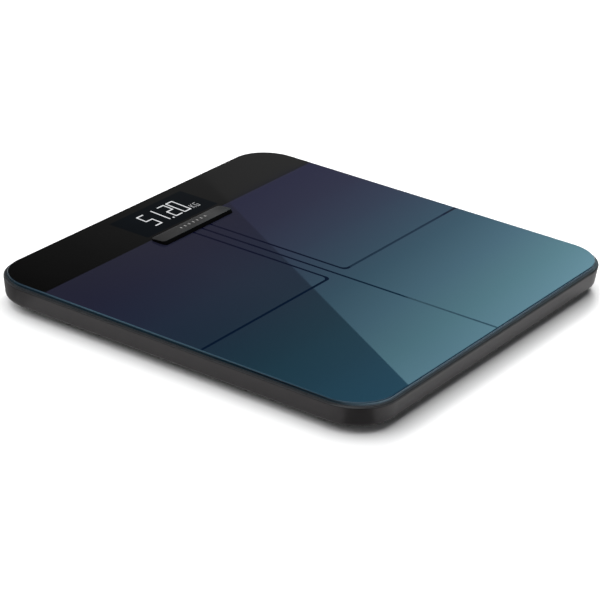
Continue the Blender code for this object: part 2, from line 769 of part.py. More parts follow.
def build_contact(name, side, sprung=None, flat=None):
    """One sheet-metal contact: a plate, a coil for the cell at y sprung, a dimple for the one at y flat."""
    ys = [y for y in (sprung, flat) if y is not None]
    low, high = min(ys) - 4.2, max(ys) + 4.2
    plate = box(25.5, 26.1, low, high, AAA_Z - 4.2, AAA_Z + 4.2)
    contact = node(name, "steel", plate if side > 0 else mirrored(plate))
    extra = []
    if flat is not None:
        dimple = along_x(turned([(1.4, 24.9), (2.2, 25.8)], steps=12), flat, AAA_Z)
        extra.append(dimple if side > 0 else mirrored(dimple))
    if sprung is not None:
        extra.append(tube(spring_points(side, sprung), 0.4, 6))
    combine(contact, "UNION", extra)


def build_contacts():
    build_contact("battery_bridge_right_1", 1, sprung=cell_y(1), flat=cell_y(0))
    build_contact("battery_bridge_right_2", 1, sprung=cell_y(3), flat=cell_y(2))
    build_contact("battery_bridge_left", -1, sprung=cell_y(2), flat=cell_y(1))
    build_contact("battery_terminal_negative", -1, sprung=cell_y(0))
    build_contact("battery_terminal_positive", -1, flat=cell_y(3))


def build_battery_cover():
    hinge = (0.0, HINGE_Y, HINGE_Z)
    sheet = box(-COVER_HALF, COVER_HALF, COVER_FRONT, COVER_BACK, BAY_BOTTOM, COVER_TOP)
    cover = node("battery_cover", "casing", sheet, hinge)
    tabs = []
    for x in TAB_XS:
        tab = (x - TAB_HALF, x + TAB_HALF, HINGE_Y - 1.2, COVER_FRONT + 1.0, HINGE_Z - 0.5, HINGE_Z + 0.5)
        tabs.append(box(*tab))
    combine(cover, "UNION", tabs)
    latch_half, slot = 7.0, 1.0
    slots = []
    for x in (-latch_half, latch_half):
        slots.append(box(x - slot / 2, x + slot / 2, COVER_BACK - 9.0, COVER_BACK + 1, 2.5, 6.0))
    combine(cover, "DIFFERENCE", slots)


def main():
    for obj in list(bpy.data.objects):
        bpy.data.objects.remove(obj)
    build_glass()
    build_tape()
    build_terminal_bar()
    build_display()
    build_upper_frame()
    build_base_shell()
    build_case_screws()
    for name, (sx, sy) in CORNERS.items():
        build_corner(name, sx, sy)
    build_leads()
    build_board()
    build_unit_button()
    build_cells()
    build_contacts()
    build_battery_cover()


main()
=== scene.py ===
"""The looks of the digital bathroom scale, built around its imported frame.

Frame: +X the user's right, +Y towards the display, +Z up, origin on the floor. Lengths are in
millimetres, and MM turns them into Blender's metres.
"""

import json
import math

import bmesh
import bpy
from mathutils import Matrix, Vector

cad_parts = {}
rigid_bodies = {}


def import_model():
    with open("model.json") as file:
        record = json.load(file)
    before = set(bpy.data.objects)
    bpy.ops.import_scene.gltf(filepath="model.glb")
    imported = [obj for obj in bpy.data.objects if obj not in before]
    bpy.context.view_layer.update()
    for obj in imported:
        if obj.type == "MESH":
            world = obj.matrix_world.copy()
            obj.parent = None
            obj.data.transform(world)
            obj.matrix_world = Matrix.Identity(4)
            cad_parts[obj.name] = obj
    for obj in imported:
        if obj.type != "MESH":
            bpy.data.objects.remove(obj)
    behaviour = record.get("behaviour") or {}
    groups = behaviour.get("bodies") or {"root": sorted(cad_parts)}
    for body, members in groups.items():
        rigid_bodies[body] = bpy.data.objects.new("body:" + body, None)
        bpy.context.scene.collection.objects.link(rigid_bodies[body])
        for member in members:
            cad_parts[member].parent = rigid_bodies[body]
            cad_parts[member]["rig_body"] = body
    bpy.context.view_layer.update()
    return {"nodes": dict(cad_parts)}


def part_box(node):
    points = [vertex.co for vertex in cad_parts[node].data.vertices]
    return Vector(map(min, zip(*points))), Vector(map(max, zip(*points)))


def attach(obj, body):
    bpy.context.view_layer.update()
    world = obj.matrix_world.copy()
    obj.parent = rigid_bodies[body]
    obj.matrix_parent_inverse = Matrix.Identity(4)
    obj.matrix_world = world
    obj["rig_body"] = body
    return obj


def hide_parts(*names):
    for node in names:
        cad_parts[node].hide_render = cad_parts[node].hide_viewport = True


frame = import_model()

MM = 0.001
CORNERS = ("display_left", "display_right", "heel_left", "heel_right")


def extent(node):
    """The low corner, high corner and middle of a CAD node's box, in millimetres."""
    low, high = (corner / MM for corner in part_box(node))
    return low, high, (low + high) / 2


# ---- the glass ----
ARRIS = 0.6
ARRIS_STEPS = 5
BACK_CHAMFER = 0.5
CORNER_STEPS = 26
GLASS_LOW, GLASS_HIGH = (corner.z for corner in extent("glass_platform")[:2])
FLAT_HALF_X = extent("glass_platform")[1].x - ARRIS  # its flat face, inside the arris
FLAT_HALF_Y = extent("glass_platform")[1].y - ARRIS
FLAT_RADIUS = 28.0

# ---- the films on it ----
FILM = 0.04
LINE_WIDTH = 2.0
LINE_X = 9.6
LINE_CROSS_Y = -24.4
LINE_BEND = 4.0
BAND_Y = 102.5  # the film ends here and the black band starts

# ---- the terminal bar ----
BAR_RADIUS = 2.8
BAR_LEAN = 1.6  # how far its front wall leans back
BAR_BACK_HEIGHT = 1.5
TICKS = 7
TICK_START = -12.5
TICK_STEP = 4.6
TICK_WIDTH = 0.8
TICK_FRONT, TICK_BACK = 96.7, 98.9

# ---- underneath ----
LABEL_SET_BACK = 2.1  # the flat underside lies above the battery bay
LABEL_Y = -52.0

# ---- the display ----
WINDOW_MIDDLE = (2.5, 124.0)
STROKE = 1.15
SEGMENT_GAP = 0.12
DIGIT_RUN = 6.7  # between the middles of a digit's upright strokes
DIGIT_RISE = 18.0  # between the middles of its top and bottom strokes
DIGIT_LEAN = math.tan(math.radians(4.3))
DIGIT_Y = 124.75
POINT_PLACE = (1.3, 114.7)
UNIT_Y = 114.9  # the foot of the small unit letters
UNIT_STROKE = 0.5
READING = (("5", -13.7), ("1", -4.4), ("2", 9.7), ("0", 19.55))
SEGMENTS = {"5": "afgcd", "1": "bc", "2": "abged", "0": "abcdef"}


# ================================================================ geometry helpers
def rounded(half_x, half_y, radius, steps, centre=(0.0, 0.0)):
    """Outline of a rounded rectangle, anticlockwise from its +X side."""
    points = []
    for quarter, (sx, sy) in enumerate(((1, 1), (-1, 1), (-1, -1), (1, -1))):
        for step in range(steps + 1):
            a = math.radians(90 * (quarter + step / steps))
            points.append(
                (
                    centre[0] + sx * (half_x - radius) + radius * math.cos(a),
                    centre[1] + sy * (half_y - radius) + radius * math.sin(a),
                )
            )
    return points


def plate_outline(offset):
    """The glass's flat face grown by offset."""
    return rounded(FLAT_HALF_X + offset, FLAT_HALF_Y + offset, FLAT_RADIUS + offset, CORNER_STEPS)


def loft(rings, materials=None):
    """Points, faces and a material index per face of a capped solid through rings of equal length."""
    points = [p for ring in rings for p in ring]
    n = len(rings[0])
    faces, indices = [list(reversed(range(n)))], [0]
    for level in range(len(rings) - 1):
        low, high = level * n, (level + 1) * n
        for i in range(n):
            j = (i + 1) % n
            faces.append([low + i, low + j, high + j, high + i])
            indices.append(materials[level] if materials else 0)
    last = (len(rings) - 1) * n
    faces.append([last + i for i in range(n)])
    indices.append(0)
    return points, faces, indices


def prism(outline, low, high):
    """An outline raised from low to high."""
    return loft([[(x, y, z) for x, y in outline] for z in (low, high)])


def hoop(profile):
    """A closed band round the glass, from a closed run of (offset, z)."""
    points = [(x, y, z) for offset, z in profile for x, y in plate_outline(offset)]
    n, levels = len(plate_outline(0.0)), len(profile)
    faces = []
    for level in range(levels):
        low, high = level * n, ((level + 1) % levels) * n
        faces += [[low + i, low + (i + 1) % n, high + (i + 1) % n, high + i] for i in range(n)]
    return points, faces, [0] * len(faces)


def turned(profile, centre, materials=None, steps=64):
    """A solid of revolution about a vertical axis: profile is (radius, z)."""
    rings = []
    for radius, z in profile:
        ring = []
        for step in range(steps):
            a = 2 * math.pi * step / steps
            ring.append((centre[0] + radius * math.cos(a), centre[1] + radius * math.sin(a), z))
        rings.append(ring)
    return loft(rings, materials)


def piece(name, bodies, materials, body, angle=35.0):
    """A new visible piece of one or more closed bodies, which rides on a CAD body."""
    work = bmesh.new()
    for points, faces, indices in bodies:
        made = [work.verts.new(Vector(p) * MM) for p in points]
        for face, index in zip(faces, indices):
            work.faces.new([made[i] for i in face]).material_index = index
    bmesh.ops.recalc_face_normals(work, faces=work.faces)
    mesh = bpy.data.meshes.new(name)
    work.to_mesh(mesh)
    work.free()
    obj = bpy.data.objects.new(name, mesh)
    bpy.context.scene.collection.objects.link(obj)
    for material in materials:
        mesh.materials.append(material)
    smooth(obj, angle)
    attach(obj, body)
    return obj


def smooth(obj, angle=35.0):
    """Smooth shading, but for the edges sharper than angle."""
    obj.data.shade_smooth()
    obj.data.set_sharp_from_angle(angle=math.radians(angle))


def bevel(obj, width, segments):
    """Rounds every real edge and leaves the steps of a curved face alone."""
    rounding = obj.modifiers.new("edges", "BEVEL")
    rounding.width = width * MM
    rounding.segments = segments
    rounding.limit_method = "ANGLE"
    rounding.angle_limit = math.radians(32.0)


def body_of(node):
    """The name of the body that a CAD node belongs to."""
    return frame["nodes"][node]["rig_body"]


def refined(node, material, width, segments):
    """A copy of a CAD node with its facets joined, its edges rounded and its round faces smooth."""
    work = bmesh.new()
    work.from_mesh(frame["nodes"][node].data)
    bmesh.ops.remove_doubles(work, verts=work.verts, dist=0.002 * MM)
    bmesh.ops.dissolve_limit(
        work, angle_limit=math.radians(0.4), verts=work.verts, edges=work.edges, use_dissolve_boundaries=False
    )
    mesh = bpy.data.meshes.new(node + "_fine")
    work.to_mesh(mesh)
    work.free()
    mesh.materials.clear()
    mesh.materials.append(material)
    for polygon in mesh.polygons:
        polygon.material_index = 0
    obj = bpy.data.objects.new(node + "_fine", mesh)
    bpy.context.scene.collection.objects.link(obj)
    smooth(obj)
    bevel(obj, width, segments)
    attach(obj, body_of(node))
    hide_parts(node)


def paint(material, *nodes):
    """Gives a carried-over CAD node its finished material."""
    for node in nodes:
        obj = frame["nodes"][node]
        for slot in obj.material_slots:
            slot.material = material


# ================================================================ materials
def shader(name, **values):
    """A Principled material with values on the shader's own sockets."""
    made = bpy.data.materials.new(name)
    made.use_nodes = True
    bsdf = made.node_tree.nodes["Principled BSDF"]
    for socket, value in values.items():
        bsdf.inputs[socket.replace("_", " ")].default_value = value
    return made, made.node_tree, bsdf


def grain(tree, scale, detail=3.0, stretch=(1.0, 1.0, 1.0), roughness=0.55):
    """Noise in the piece's own coordinates: scale is in features per metre."""
    where = tree.nodes.new("ShaderNodeTexCoord")
    turn = tree.nodes.new("ShaderNodeMapping")
    turn.inputs["Scale"].default_value = stretch
    noise = tree.nodes.new("ShaderNodeTexNoise")
    noise.inputs["Scale"].default_value = scale
    noise.inputs["Detail"].default_value = detail
    noise.inputs["Roughness"].default_value = roughness
    tree.links.new(where.outputs["Object"], turn.inputs["Vector"])
    tree.links.new(turn.outputs["Vector"], noise.inputs["Vector"])
    return noise.outputs["Fac"]


def spread(tree, source, low, high, from_low=0.3, from_high=0.7):
    """Maps a source onto low..high: the defaults span a noise's usual range."""
    ranged = tree.nodes.new("ShaderNodeMapRange")
    ranged.inputs["From Min"].default_value = from_low
    ranged.inputs["From Max"].default_value = from_high
    ranged.inputs["To Min"].default_value = low
    ranged.inputs["To Max"].default_value = high
    tree.links.new(source, ranged.inputs["Value"])
    return ranged.outputs["Result"]


def two_tone(tree, source, dark, light):
    """Turns a noise into a colour between dark and light."""
    ramp = tree.nodes.new("ShaderNodeValToRGB")
    for element, place, colour in zip(ramp.color_ramp.elements, (0.35, 0.65), (dark, light)):
        element.position = place
        element.color = (*colour, 1.0)
    tree.links.new(source, ramp.inputs["Fac"])
    return ramp.outputs["Color"]


def relief(tree, bsdf, source, height):
    """Bump of a height in millimetres."""
    bump = tree.nodes.new("ShaderNodeBump")
    bump.inputs["Strength"].default_value = 1.0
    bump.inputs["Distance"].default_value = height * MM
    tree.links.new(source, bump.inputs["Height"])
    tree.links.new(bump.outputs["Normal"], bsdf.inputs["Normal"])


def finish(name, dark, light, rough, grain_scale, height, stretch=(1.0, 1.0, 1.0), patch=60.0, **values):
    """A moulded or worked surface: broad patches of tone, and a fine grain in its gloss and relief."""
    made, tree, bsdf = shader(name, **values)
    colour = two_tone(tree, grain(tree, patch, 4.0, stretch), dark, light)
    tree.links.new(colour, bsdf.inputs["Base Color"])
    fine = grain(tree, grain_scale, 2.0, stretch)
    tree.links.new(spread(tree, fine, rough[0], rough[1]), bsdf.inputs["Roughness"])
    relief(tree, bsdf, fine, height)
    return made


def own_axes(tree):
    """The piece's own X, Y and Z, in metres."""
    where = tree.nodes.new("ShaderNodeTexCoord")
    split = tree.nodes.new("ShaderNodeSeparateXYZ")
    tree.links.new(where.outputs["Object"], split.inputs["Vector"])
    return split.outputs


def through(tree, source, from_low, from_high, stops, interpolation):
    """The colours of stops, (place, colour), laid out over a source that runs from_low to from_high."""
    share = spread(tree, source, 0.0, 1.0, from_low, from_high)
    low, high = stops[0][0], stops[-1][0]
    ramp = tree.nodes.new("ShaderNodeValToRGB")
    ramp.color_ramp.interpolation = interpolation
    elements = ramp.color_ramp.elements
    while len(elements) < len(stops):
        elements.new(0.5)
    for element, (place, colour) in zip(elements, stops):
        element.position = (place - low) / (high - low)
        element.color = (*colour, 1.0)
    tree.links.new(share, ramp.inputs["Fac"])
    return ramp.outputs["Color"]


def along(tree, axis, stops):
    """A colour that runs along one of the piece's own axes: stops are (place in millimetres, colour)."""
    return through(tree, own_axes(tree)[axis], stops[0][0] * MM, stops[-1][0] * MM, stops, "CARDINAL")


def glass_gloss(tree, bsdf, low, high):
    """Faint wipe marks in the gloss of clean glass, as a roughness from low to high."""
    smears = grain(tree, 14.0, 5.0, (1.0, 0.35, 1.0), 0.6)
    tree.links.new(spread(tree, smears, low, high), bsdf.inputs["Roughness"])


def tinted_glass(name, stops, **values):
    """Glass over a tint that turns along Y."""
    made, tree, bsdf = shader(name, IOR=1.52, **values)
    tree.links.new(along(tree, "Y", stops), bsdf.inputs["Base Color"])
    glass_gloss(tree, bsdf, 0.008, 0.026)
    return made


def electrode_glass():
    """From violet black at the display to teal at the heels."""
    stops = (
        (-149.0, (0.0114, 0.0405, 0.0650)),
        (-110.0, (0.0098, 0.0330, 0.0520)),
        (-70.0, (0.0080, 0.0258, 0.0400)),
        (-25.0, (0.0080, 0.0181, 0.0314)),
        (20.0, (0.0095, 0.0148, 0.0288)),
        (60.0, (0.0100, 0.0114, 0.0246)),
        (BAND_Y, (0.0110, 0.0110, 0.0222)),
    )
    return tinted_glass("electrode_glass", stops)


def line_glass():
    """Where the film is etched away: darker, and with less sheen."""
    stops = (
        (-149.0, (0.0012, 0.0160, 0.0330)),
        (-25.0, (0.0010, 0.0050, 0.0150)),
        (BAND_Y, (0.0012, 0.0012, 0.0095)),
    )
    return tinted_glass("etched_line_glass", stops, Specular_IOR_Level=0.12)


def arris_glass_painted_highlight():
    """The rounded edge of the pane, with a painted highlight: lighter along its sides, darker where it runs
    round the heel and display ends.
    """
    stops = (
        (-149.6, (0.0030, 0.0260, 0.0480)),
        (-140.0, (0.0140, 0.0400, 0.0620)),
        (-25.0, (0.0300, 0.0600, 0.0830)),
        (90.0, (0.0310, 0.0600, 0.0850)),
        (149.6, (0.0060, 0.0120, 0.0180)),
    )
    return tinted_glass("arris_glass_painted_highlight", stops, Specular_IOR_Level=0.3)


def side_glass_painted_highlight():
    """The pane's upright side, with a painted highlight: pale at the heels, deep towards the display."""
    stops = (
        (-149.6, (0.150, 0.225, 0.280)),
        (-147.0, (0.130, 0.200, 0.250)),
        (-128.0, (0.012, 0.024, 0.034)),
        (0.0, (0.005, 0.020, 0.033)),
        (149.6, (0.005, 0.016, 0.026)),
    )
    return tinted_glass("side_glass_painted_highlight", stops, Specular_IOR_Level=0.12)


def fillet_rubber_painted_highlight():
    """The soft fillet round the pane, with a painted highlight: pale at the heels, dark elsewhere."""
    made, tree, bsdf = shader("fillet_rubber_painted_highlight", Specular_IOR_Level=0.15)
    stops = ((-149.6, (0.080, 0.105, 0.128)), (-128.0, (0.009, 0.022, 0.031)), (149.6, (0.008, 0.018, 0.025)))
    tree.links.new(along(tree, "Y", stops), bsdf.inputs["Base Color"])
    tree.links.new(spread(tree, grain(tree, 2200.0), 0.5, 0.6), bsdf.inputs["Roughness"])
    return made


def black_glass(name, colour, level=0.5):
    """Glass with an opaque print behind it."""
    made, tree, bsdf = shader(name, IOR=1.52, Specular_IOR_Level=level)
    tone = two_tone(tree, grain(tree, 30.0, 3.0), colour, tuple(c * 1.25 for c in colour))
    tree.links.new(tone, bsdf.inputs["Base Color"])
    glass_gloss(tree, bsdf, 0.018, 0.055)
    return made


def lit_segment(name, strength):
    """A glowing display segment, very slightly uneven."""
    made, tree, bsdf = shader(name, Roughness=0.3, Emission_Strength=strength)
    tone = two_tone(tree, grain(tree, 350.0, 2.0), (0.84, 0.86, 0.88), (0.97, 0.98, 1.0))
    tree.links.new(tone, bsdf.inputs["Emission Color"])
    bsdf.inputs["Base Color"].default_value = (0.02, 0.02, 0.02, 1.0)
    return made


def bar_satin_painted_highlight():
    """Dark grey satin with a painted highlight: a soft lighter patch right of its middle, darker towards both
    ends.
    """
    made, tree, bsdf = shader("bar_satin_painted_highlight", Specular_IOR_Level=0.35)
    stops = (
        (-41.0, (0.0098, 0.0094, 0.0095)),
        (-31.0, (0.0150, 0.0145, 0.0146)),
        (-15.0, (0.0185, 0.0180, 0.0180)),
        (0.0, (0.0185, 0.0180, 0.0180)),
        (10.0, (0.0222, 0.0217, 0.0217)),
        (22.0, (0.0280, 0.0275, 0.0275)),
        (31.0, (0.0172, 0.0168, 0.0168)),
        (41.0, (0.0088, 0.0086, 0.0086)),
    )
    tree.links.new(along(tree, "X", stops), bsdf.inputs["Base Color"])
    fine = grain(tree, 900.0, 2.0, (0.06, 1.0, 1.0))
    tree.links.new(spread(tree, fine, 0.34, 0.46), bsdf.inputs["Roughness"])
    relief(tree, bsdf, fine, 0.002)
    return made


GLASS = electrode_glass()
GLASS_BLACK = black_glass("black_band_glass", (0.0009, 0.0009, 0.0009))
GLASS_LINE = line_glass()
GLASS_WINDOW = black_glass("display_window_glass", (0.0010, 0.0018, 0.0028), level=0.10)
GLASS_ARRIS = arris_glass_painted_highlight()
GLASS_SIDE = side_glass_painted_highlight()
LIT = lit_segment("lit_segment", 0.80)
LIT_DIM = lit_segment("lit_unit_segment", 0.50)
CASING = finish(
    "casing_plastic",
    (0.0062, 0.0055, 0.0059),
    (0.0078, 0.0070, 0.0074),
    (0.30, 0.44),
    2600.0,
    0.008,
    Specular_IOR_Level=0.34,
    Specular_Tint=(1.0, 0.95, 0.965, 1.0),
)
RIM = finish(
    "rim_plastic",
    (0.0066, 0.0084, 0.0108),
    (0.0084, 0.0104, 0.0130),
    (0.34, 0.46),
    3200.0,
    0.006,
    Specular_IOR_Level=0.5,
)
FILLET = fillet_rubber_painted_highlight()
BAR_TOP = bar_satin_painted_highlight()
BAR_SIDE = finish(
    "bar_black",
    (0.0014, 0.0014, 0.0016),
    (0.0020, 0.0020, 0.0022),
    (0.45, 0.55),
    1500.0,
    0.002,
    Specular_IOR_Level=0.03,
)
TICK = finish("tick_print", (0.26, 0.255, 0.25), (0.32, 0.315, 0.31), (0.4, 0.5), 1500.0, 0.002)
RUBBER = finish("foot_rubber", (0.012, 0.012, 0.012), (0.020, 0.020, 0.020), (0.72, 0.92), 1700.0, 0.03)
STEEL = finish(
    "spring_steel",
    (0.40, 0.40, 0.41),
    (0.56, 0.56, 0.57),
    (0.22, 0.36),
    1500.0,
    0.004,
    (0.08, 1.0, 1.0),
    Metallic=1.0,
)
WHITE = finish("white_plastic", (0.66, 0.66, 0.64), (0.74, 0.74, 0.72), (0.42, 0.55), 1800.0, 0.008)
CHIP = finish("chip_resin", (0.012, 0.012, 0.013), (0.022, 0.022, 0.024), (0.45, 0.6), 3500.0, 0.006)
CABLE = finish("cable_pvc", (0.05, 0.05, 0.05), (0.08, 0.08, 0.08), (0.3, 0.42), 900.0, 0.005)
FOAM = finish("foam_tape", (0.01, 0.01, 0.01), (0.02, 0.02, 0.02), (0.8, 0.95), 2200.0, 0.05)
POTTING = finish("potting_silicone", (0.70, 0.70, 0.68), (0.80, 0.80, 0.78), (0.35, 0.5), 700.0, 0.03)
MASK = finish("mask_film", (0.004, 0.004, 0.005), (0.008, 0.008, 0.009), (0.4, 0.55), 2500.0, 0.002)
BOARD = finish(
    "circuit_board", (0.006, 0.060, 0.022), (0.012, 0.105, 0.038), (0.25, 0.4), 1200.0, 0.01, patch=420.0
)
SLEEVE = finish("cell_sleeve", (0.014, 0.016, 0.020), (0.022, 0.024, 0.030), (0.20, 0.32), 900.0, 0.004)
SLEEVE_BAND = finish(
    "cell_band",
    (0.42, 0.25, 0.13),
    (0.50, 0.31, 0.17),
    (0.24, 0.36),
    900.0,
    0.004,
    (0.1, 1.0, 1.0),
    Metallic=0.9,
)
LABEL = finish("label_film", (0.33, 0.33, 0.34), (0.38, 0.38, 0.39), (0.32, 0.45), 1400.0, 0.003)
PRINT = finish("label_print", (0.02, 0.02, 0.021), (0.035, 0.035, 0.036), (0.4, 0.5), 1400.0, 0.002)
DIFFUSER = finish("light_diffuser", (0.78, 0.80, 0.83), (0.88, 0.9, 0.93), (0.35, 0.5), 2500.0, 0.002)


# ================================================================ glass platform
def bend_points(x, steps=10):
    """The outer line from the bar down to its bend and out towards the edge, for x > 0."""
    points = [(x, BAND_Y)]
    for step in range(steps + 1):
        a = math.radians(180 + 90 * step / steps)
        points.append(
            (x + LINE_BEND + LINE_BEND * math.cos(a), LINE_CROSS_Y + LINE_BEND + LINE_BEND * math.sin(a))
        )
    return points


def upper_zone():
    """Outline of the right upper electrode: above the cross line and outside the outer line."""
    half = LINE_WIDTH / 2
    inner = [(x + half, y + half) for x, y in bend_points(LINE_X)[1:-1]]
    low = LINE_CROSS_Y + half
    return [(LINE_X + half, BAND_Y), *inner, (FLAT_HALF_X, low), (FLAT_HALF_X, BAND_Y)]


def lower_zone():
    """Outline of the right lower electrode: under the cross line, with its arm up beside the middle line."""
    half = LINE_WIDTH / 2
    arm = [(x - half, y - half) for x, y in bend_points(LINE_X)[1:]]
    corner = [p for p in plate_outline(0.0) if p[0] > 0 and p[1] < -FLAT_HALF_Y + FLAT_RADIUS + 0.01]
    # the plate's corner runs anticlockwise: from the bottom edge round to the right edge
    outline = [(half, -FLAT_HALF_Y), *corner, (FLAT_HALF_X, LINE_CROSS_Y - half)]
    outline += list(reversed(arm))
    outline += [(LINE_X - half, BAND_Y), (half, BAND_Y)]
    return outline


def mirrored(outline):
    """The same outline on the other side of X = 0."""
    return [(-x, y) for x, y in reversed(outline)]


def film(name, outline, material, low, high):
    """A thin layer in the top of the glass."""
    obj = piece(name, [prism(outline, low, high)], [material], "platform")
    return obj


def build_glass():
    """The pane, with the electrode films and the black band as thin layers in its top."""
    top = GLASS_HIGH - FILM
    profile = [(ARRIS - BACK_CHAMFER, GLASS_LOW), (ARRIS, GLASS_LOW + BACK_CHAMFER)]
    for step in range(ARRIS_STEPS + 1):
        a = math.radians(90 * step / ARRIS_STEPS)
        profile.append((ARRIS * math.cos(a), top - ARRIS + ARRIS * math.sin(a)))
    rings = [[(x, y, z) for x, y in plate_outline(offset)] for offset, z in profile]
    solid = loft(rings, [1] * 2 + [2] * ARRIS_STEPS)
    glass = piece("glass_plate", [solid], [GLASS_LINE, GLASS_SIDE, GLASS_ARRIS], "platform", angle=50)
    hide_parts("glass_platform")
    for word, turn in (("right", list), ("left", mirrored)):
        film(f"electrode_display_{word}", turn(upper_zone()), GLASS, top, GLASS_HIGH)
        film(f"electrode_heel_{word}", turn(lower_zone()), GLASS, top, GLASS_HIGH)
    band = [(FLAT_HALF_X, BAND_Y), *[p for p in plate_outline(0.0) if p[1] > BAND_Y], (-FLAT_HALF_X, BAND_Y)]
    film("display_band", band, GLASS_BLACK, top, GLASS_HIGH - 0.02)


# ================================================================ display
def segment_outlines(x_middle, which):
    """The lit segments of one digit as leaning hexagons with mitred ends."""
    right, top, half = DIGIT_RUN / 2, DIGIT_RISE / 2, STROKE / 2
    ends = {
        "a": ((-right, top), (right, top)),
        "b": ((right, top), (right, 0)),
        "c": ((right, 0), (right, -top)),
        "d": ((-right, -top), (right, -top)),
        "e": ((-right, 0), (-right, -top)),
        "f": ((-right, top), (-right, 0)),
        "g": ((-right, 0), (right, 0)),
    }
    outlines = []
    for letter in which:
        start, end = (Vector(p) for p in ends[letter])
        run = (end - start).normalized()
        side = Vector((-run.y, run.x)) * half
        start, end = start + run * SEGMENT_GAP, end - run * SEGMENT_GAP
        tip, shoulder = run * half * 0.98, run * half * 0.55
        corners = [start - tip, start - shoulder - side, end + shoulder - side]
        corners += [end + tip, end + shoulder + side, start - shoulder + side]
        outlines.append([(x_middle + p.x + p.y * DIGIT_LEAN, DIGIT_Y + p.y) for p in corners])
    return outlines


def stroke(start, end):
    """A straight stroke of the small unit letters, leaning with the digits."""
    start, end = Vector(start), Vector(end)
    ahead = (end - start).normalized() * UNIT_STROKE / 2
    side = Vector((-ahead.y, ahead.x))
    start, end = start - ahead, end + ahead
    corners = (start - side, end - side, end + side, start + side)
    return [(p.x + p.y * DIGIT_LEAN, UNIT_Y + p.y) for p in corners]


def build_display():
    """The window in the black band, and the lit reading a hair above it."""
    window = rounded(40.5, 17.0, 1.2, 6, WINDOW_MIDDLE)
    film("display_window", window, GLASS_WINDOW, GLASS_HIGH - 0.03, GLASS_HIGH - 0.01)
    low, high = GLASS_HIGH - 0.02, GLASS_HIGH + 0.01
    for number, (digit, x) in enumerate(READING, start=1):
        bodies = [prism(outline, low, high) for outline in segment_outlines(x, SEGMENTS[digit])]
        piece(f"lit_digit_{number}", bodies, [LIT], "platform")
    dot = [(POINT_PLACE[0] + x, POINT_PLACE[1] + y) for x, y in ((0, 0), (1.5, 0), (1.6, 1.5), (0.1, 1.5))]
    piece("lit_decimal_point", [prism(dot, low, high)], [LIT], "platform")
    unit = [
        stroke((25.4, 0), (25.4, 5.6)),
        stroke((27.9, 5.6), (25.8, 2.9)),
        stroke((26.1, 3.2), (27.9, 0)),
        stroke((32.4, 5.6), (29.9, 5.6)),
        stroke((29.9, 5.0), (29.9, 0.6)),
        stroke((29.9, 0), (32.4, 0)),
        stroke((32.4, 0.6), (32.4, 2.6)),
        stroke((31.3, 2.8), (32.4, 2.8)),
    ]
    piece("lit_unit", [prism(o, low, high) for o in unit], [LIT_DIM], "platform")


# ================================================================ terminal bar
def build_bar():
    """The bar over the electrode terminals, with a rounded top edge and a row of plain ticks."""
    low, high, middle = extent("terminal_bar")
    half_x, depth, back = (high.x - low.x) / 2, high.y - low.y, high.y
    back_top = GLASS_HIGH + BAR_BACK_HEIGHT

    def top_at(y, drop=0.0):
        return back_top + (high.z - back_top) * (back - y) / depth - drop

    outline = rounded(half_x, depth / 2, BAR_RADIUS, 12, (0.0, middle.y))
    rings = [[(middle.x + x, y, low.z) for x, y in outline]]
    # up round the top edge: inset from the wall, share of the front's lean, and drop below the top face
    for inset, leaned, drop in ((0.0, 0.88, 0.30), (0.08, 0.94, 0.16), (0.2, 0.98, 0.05), (0.4, 1.0, 0.0)):
        narrow = 1 - inset / half_x
        shorten = 1 - (leaned * BAR_LEAN + inset) / depth
        ring = [(x * narrow, back - inset / 2 + (y - back) * shorten) for x, y in outline]
        rings.append([(middle.x + x, y, top_at(y, drop)) for x, y in ring])
    bar = piece("terminal_bar_fine", [loft(rings, [1, 1, 1, 0])], [BAR_TOP, BAR_SIDE], "platform", angle=50)
    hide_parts("terminal_bar")
    ticks = []
    for number in range(TICKS):
        left = TICK_START + number * TICK_STEP - TICK_WIDTH / 2
        right = left + TICK_WIDTH
        corners = [(left, TICK_FRONT), (right, TICK_FRONT), (right, TICK_BACK), (left, TICK_BACK)]
        lower = [(px, py, top_at(py, 0.05)) for px, py in corners]
        upper = [(px, py, top_at(py, -0.02)) for px, py in corners]
        ticks.append(loft([lower, upper]))
    piece("bar_ticks", ticks, [TICK], "platform")


# ================================================================ casing
def build_casing():
    """The shells, cover, button and feet, with the marks and the label underneath."""
    refined("base_shell", CASING, 0.25, 3)
    refined("upper_frame", RIM, 0.12, 2)
    build_seams()
    refined("battery_cover", CASING, 0.25, 3)
    refined("unit_button", CASING, 0.2, 3)
    for corner in CORNERS:
        refined(f"foot_cup_{corner}", CASING, 0.2, 3)
        build_foot_pad(corner)
    build_cover_marks()
    build_label()


def build_seams():
    """The soft fillet between glass and rim, and the bead that closes the rim's groove on the wall."""
    build_seam("glass_fillet", FILLET, ((0.62, 2.60), (1.08, 2.60), (1.08, 2.05), (0.62, 1.70)))
    build_seam("rim_bead", RIM, ((2.77, 3.05), (3.18, 3.05), (3.18, 2.70), (2.77, 2.30)))


def build_seam(name, material, profile):
    """A band round the glass, whose profile is (offset from the flat face, depth below the glass top)."""
    band = hoop([(offset, GLASS_HIGH - depth) for offset, depth in profile])
    piece(name, [band], [material], "platform")


def build_foot_pad(corner):
    """A rubber pad with two ring grooves and a dished middle."""
    node = f"foot_pad_{corner}"
    low, high, middle = extent(node)
    radius = (high.x - low.x) / 2
    profile = [(3.2, 0.8), (3.9, 0.05), (4.3, 0.0)]
    for groove in (8.0, 13.0):
        profile += [(groove - 0.9, 0.0), (groove - 0.6, 0.1), (groove - 0.5, 0.7)]
        profile += [(groove + 0.5, 0.7), (groove + 0.6, 0.1), (groove + 0.9, 0.0)]
    profile += [(radius - 1.6, 0.0), (radius - 0.6, 0.35), (radius - 0.1, 0.9)]
    profile += [(radius, 1.4), (radius, high.z)]
    pad = piece(node + "_fine", [turned(profile, middle)], [RUBBER], body_of(node), angle=40)
    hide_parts(node)


